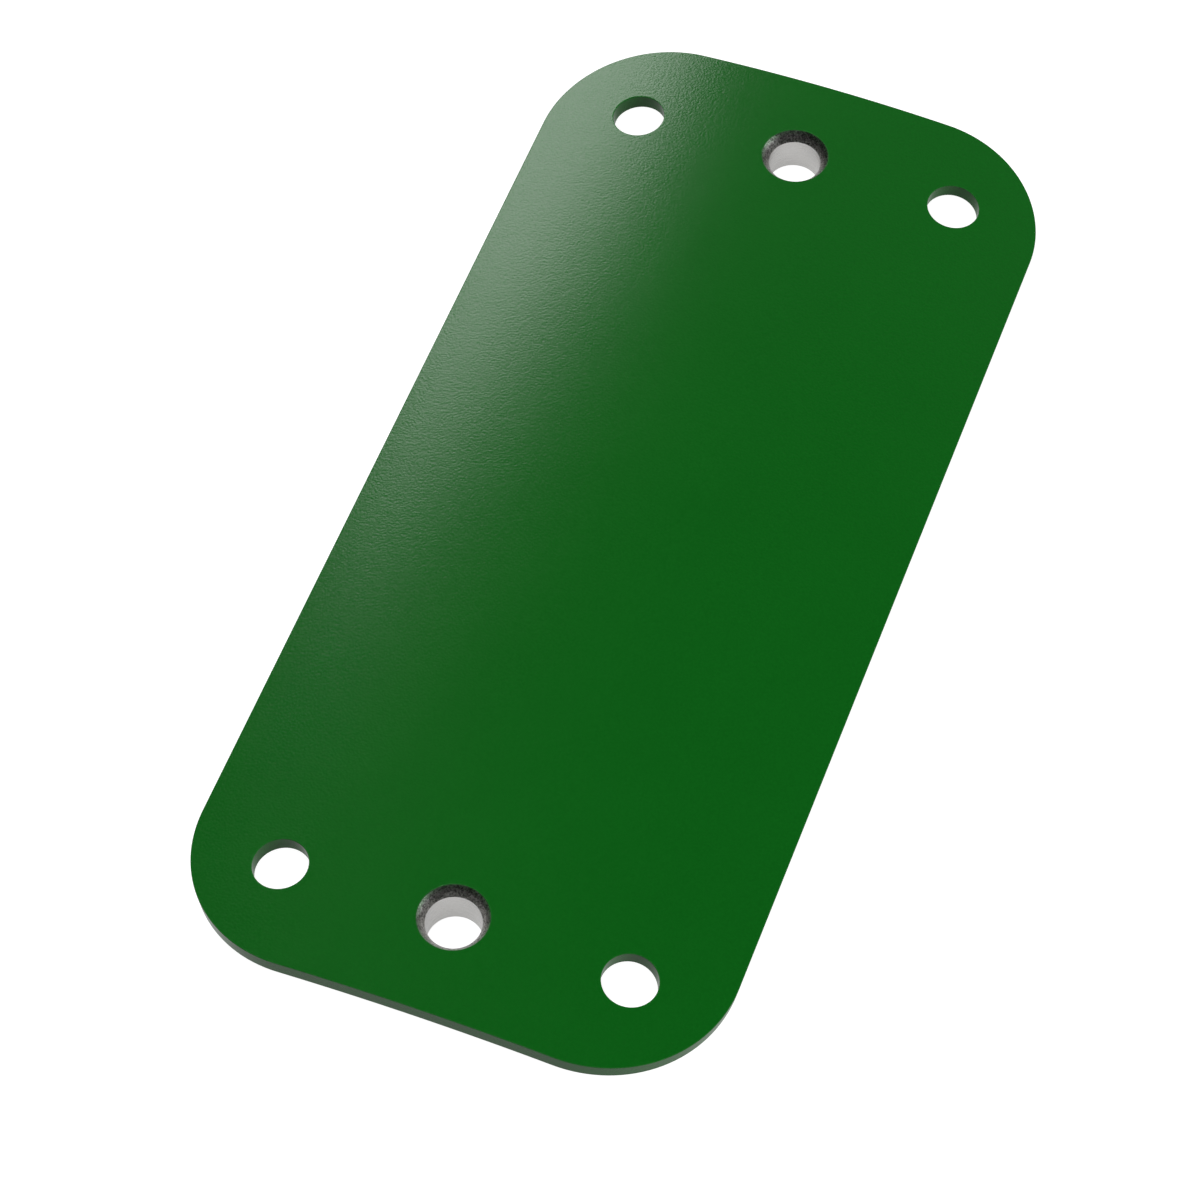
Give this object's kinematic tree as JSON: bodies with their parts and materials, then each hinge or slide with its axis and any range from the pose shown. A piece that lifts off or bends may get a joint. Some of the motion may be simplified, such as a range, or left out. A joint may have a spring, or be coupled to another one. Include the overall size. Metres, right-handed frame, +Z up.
{
  "type": "reinforcement shield",
  "caption": "Gently rolled steel plate with rounded corners, plain bolt holes at its corners and countersunk sleeves on its centre line, bolted over a part to stiffen and guard it.",
  "frame": {"origin": "under the middle of the plate, level with the lower ends of the sleeves that it rests on", "axes": "+Z up, out of the crown; +Y along the length, parallel to the roll's axis; +X across the width"},
  "size_m": [0.1296, 0.28, 0.012],
  "materials": {
    "green_coat": "deep green powder coat, satin, with a fine even grain, on sheet steel",
    "bare_steel": "bare turned steel, fine and even in the bore, rougher and darker in the countersunk mouth"
  },
  "bodies": {
    "root": {"plate": "green_coat", "sleeve_front": "bare_steel", "sleeve_rear": "bare_steel"}
  },
  "joints": []
}
